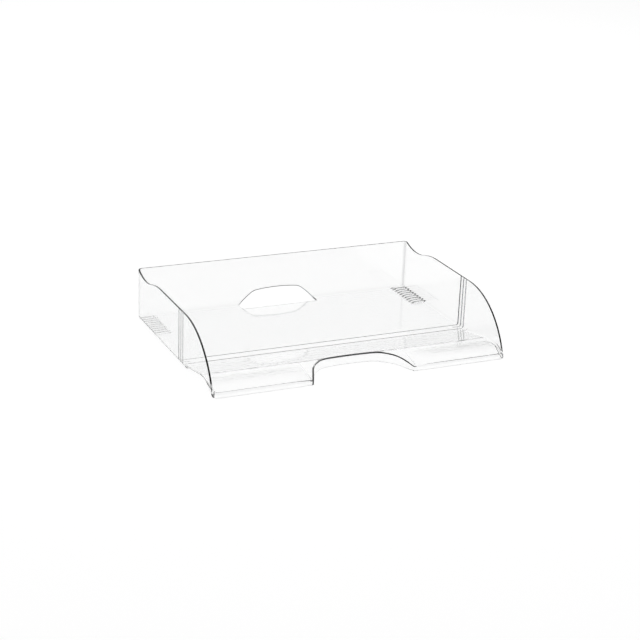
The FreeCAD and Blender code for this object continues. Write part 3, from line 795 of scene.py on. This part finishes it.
class Value:
    """A node's output. Sums, differences and products with it make Math nodes."""

    def __init__(self, nodes, socket):
        self.nodes = nodes
        self.socket = socket

    def __add__(self, other):
        return self.nodes.math("ADD", self, other)

    def __radd__(self, other):
        return self.nodes.math("ADD", other, self)

    def __sub__(self, other):
        return self.nodes.math("SUBTRACT", self, other)

    def __rsub__(self, other):
        return self.nodes.math("SUBTRACT", other, self)

    def __mul__(self, other):
        return self.nodes.math("MULTIPLY", self, other)

    def __rmul__(self, other):
        return self.nodes.math("MULTIPLY", other, self)

    def __abs__(self):
        return self.nodes.math("ABSOLUTE", self)

    def fade(self, full, none):
        """One up to full, easing to nothing at none."""
        steps = {"Value": self, "From Min": full, "From Max": none, "To Min": 1.0, "To Max": 0.0}
        return self.nodes.make("ShaderNodeMapRange", steps, interpolation_type="SMOOTHSTEP")


# Colours of the plastic on its faces and of the painted shade at its edges, its roughness where it is
# polished and what haze adds, the height of its waves in metres, and its colour and strength inside.
TINT = (0.98, 0.982, 0.982, 1)
PAINTED_EDGE_SHADE = (0.12, 0.13, 0.135, 1)
INDEX = 1.59
POLISH = 0.004
MATTE = 0.02
HAZE_FROM = 0.4
HAZE_TO = 0.62
WAVINESS = 0.00005
SMOKE = (0.02, 0.05, 0.05, 1)
DENSITY = 8.0
SHADOW = (0.998, 0.998, 0.998, 1)


def clear_polystyrene():
    """Clear polystyrene: polished, with a faint waviness from the mould. Straight light passes as
    through thin sheet, so that the desk under the tray stays light."""
    material = bpy.data.materials.new("clear_polystyrene")
    nodes = Nodes(material)
    # A colour mix has its factor in socket 0, its colours in 6 and 7, and its result in output 2.
    # Painted shade: the mesh's attribute darkens the base colour towards a dark grey on the arch's edge, the
    # walls' dents and the corners.
    edge = nodes.make("ShaderNodeAttribute", output="Fac", attribute_name="painted_edge_shade")
    tint_and_edge_shade = nodes.make("ShaderNodeMix", {0: edge, 6: TINT, 7: PAINTED_EDGE_SHADE}, output=2, data_type="RGBA")
    place = nodes.make("ShaderNodeTexCoord", output="Object")
    flow = nodes.make("ShaderNodeTexNoise", {"Vector": place, "Scale": 190.0, "Detail": 1.0})
    haze = nodes.make("ShaderNodeTexNoise", {"Vector": place, "Scale": 160.0, "Detail": 4.0})
    wave = nodes.make("ShaderNodeBump", {"Height": flow, "Strength": 1.0, "Distance": WAVINESS})
    body = nodes.tree.nodes["Principled BSDF"]
    nodes.fill(body, {"Base Color": tint_and_edge_shade, "IOR": INDEX, "Transmission Weight": 1.0, "Normal": wave,
                      "Roughness": POLISH + MATTE * haze.fade(HAZE_FROM, HAZE_TO)})
    shadow = nodes.make("ShaderNodeLightPath", output="Is Shadow Ray")
    bounced = nodes.make("ShaderNodeLightPath", output="Is Diffuse Ray")
    straight = nodes.math("MAXIMUM", shadow, bounced)
    clear = nodes.make("ShaderNodeBsdfTransparent", {"Color": SHADOW})
    mix = nodes.make("ShaderNodeMixShader", {0: straight, 1: Value(nodes, body.outputs[0]), 2: clear})
    inside = nodes.make("ShaderNodeVolumeAbsorption", {"Color": SMOKE, "Density": DENSITY})
    nodes.fill(nodes.tree.nodes["Material Output"], {"Surface": mix, "Volume": inside})
    return material


# ---- studio, in metres ----

# The camera's focus is in pixels of a square picture, and its angles are in degrees.
PICTURE = 640
SENSOR = 36.0
FOCUS = 1614.327
AZIMUTH, ELEVATION, ROLL = -24.912, 20.757, -2.361
DISTANCE = 1.843984
SHIFT_X, SHIFT_Z = -0.001891, 0.007757
AIM = (0, 0, 0.03)


def make_camera():
    """A camera DISTANCE from AIM, turned about its own axis by ROLL and moved by a small shift."""
    data = bpy.data.cameras.new("camera")
    data.sensor_width = SENSOR
    data.lens = FOCUS / PICTURE * SENSOR
    data.clip_start = 0.01
    data.clip_end = 60
    a, e, r = (math.radians(v) for v in (AZIMUTH, ELEVATION, ROLL))
    back = np.array([math.sin(a) * math.cos(e), -math.cos(a) * math.cos(e), math.sin(e)])
    right = np.array([math.cos(a), math.sin(a), 0.0])
    tilt = np.array([[math.cos(r), -math.sin(r), 0], [math.sin(r), math.cos(r), 0], [0, 0, 1]])
    turn = tilt @ np.stack([right, np.cross(back, right), back])
    pose = np.eye(4)
    pose[:3, :3] = turn.T
    pose[:3, 3] = np.array(AIM) + turn.T @ np.array([-SHIFT_X, -SHIFT_Z, DISTANCE])
    camera = bpy.data.objects.new("camera", data)
    camera.matrix_world = Matrix(pose.tolist())
    bpy.context.scene.collection.objects.link(camera)
    bpy.context.scene.camera = camera


# The sheet of paper on the studio floor, along the direction LOOK. STUDIO_SEEN lifts the floor
# beside the paper for the camera alone, so that it looks pale and still leaves dark edges in the
# plastic.
LOOK = math.radians(24.9)
DESK = -0.0003
DESK_HALF = 30
PAPER = 0.85
PAPER_MIDDLE = 2.2
PAPER_LONG = 3.0
PAPER_WIDE = 0.9
PAPER_SOFT = 0.25
STUDIO = 0.12
STUDIO_SEEN = 2.0
DESK_GLOW = 0.435


def make_desk():
    """A sheet of white paper under the tray, long in the direction that the camera looks, on a
    dark studio floor."""
    mesh = bpy.data.meshes.new("desk")
    corners = [(x * DESK_HALF, y * DESK_HALF, DESK) for x, y in ((-1, -1), (1, -1), (1, 1), (-1, 1))]
    mesh.from_pydata(corners, [], [(0, 1, 2, 3)])
    desk = bpy.data.objects.new("desk", mesh)
    bpy.context.scene.collection.objects.link(desk)
    material = bpy.data.materials.new("desk")
    nodes = Nodes(material)
    x, y, _ = nodes.parts(nodes.make("ShaderNodeTexCoord", output="Object"))
    across = abs(x * math.cos(LOOK) - y * math.sin(LOOK))
    along = abs(x * math.sin(LOOK) + y * math.cos(LOOK) - PAPER_MIDDLE)
    paper = across.fade(PAPER_WIDE, PAPER_WIDE + PAPER_SOFT) * along.fade(PAPER_LONG, PAPER_LONG + PAPER_SOFT)
    seen = nodes.make("ShaderNodeLightPath", output="Is Camera Ray")
    nodes.fill(nodes.tree.nodes["Principled BSDF"], {
        "Base Color": STUDIO + (PAPER - STUDIO) * paper,
        "Roughness": 1.0,
        "Specular IOR Level": 0.0,
        "Emission Color": paper + STUDIO_SEEN * seen * (1 - paper),
        "Emission Strength": DESK_GLOW})
    mesh.materials.append(material)


# The studio's backdrop is full where a ray's share of the way ahead is over WALL_FULL, and gone
# under WALL_NONE.
BACKDROP = 1.0
WALL_FULL = 0.8
WALL_NONE = 0.45
FRONT = 0.15
SKY_TILT = math.radians(25.0)


def make_world():
    """Bright behind the tray and above it there, and dim to the sides, overhead and behind the
    camera, which itself sees white."""
    world = bpy.data.worlds.new("studio")
    bpy.context.scene.world = world
    nodes = Nodes(world)
    x, y, z = nodes.parts(nodes.make("ShaderNodeTexCoord", output="Generated"))
    level = x * math.sin(LOOK) + y * math.cos(LOOK)
    ahead = level * math.cos(SKY_TILT) + z * math.sin(SKY_TILT)
    backdrop = FRONT + (BACKDROP - FRONT) * (1 - ahead.fade(WALL_NONE, WALL_FULL))
    seen = nodes.make("ShaderNodeLightPath", output="Is Camera Ray")
    nodes.fill(nodes.tree.nodes["Background"], {
        "Color": (1, 1, 1, 1), "Strength": nodes.math("MAXIMUM", backdrop, seen)})


LAMP = 51.5
LAMP_SIZE = 3.0
LAMP_PLACE = (0.3, 0.8, 3.6)


def make_lamp():
    """A wide softbox overhead, which isn't seen in the plastic."""
    data = bpy.data.lights.new("softbox", "AREA")
    data.shape = "SQUARE"
    data.size = LAMP_SIZE
    data.energy = LAMP
    lamp = bpy.data.objects.new("softbox", data)
    lamp.location = LAMP_PLACE
    lamp.visible_glossy = False
    lamp.visible_transmission = False
    bpy.context.scene.collection.objects.link(lamp)


tray = make_tray()
paint_edge_shade(tray)
finish_surface(tray)
tray.data.materials.append(clear_polystyrene())
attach(tray, "root")
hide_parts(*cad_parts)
make_camera()
make_desk()
make_world()
make_lamp()
bpy.context.scene.view_settings.view_transform = "Standard"
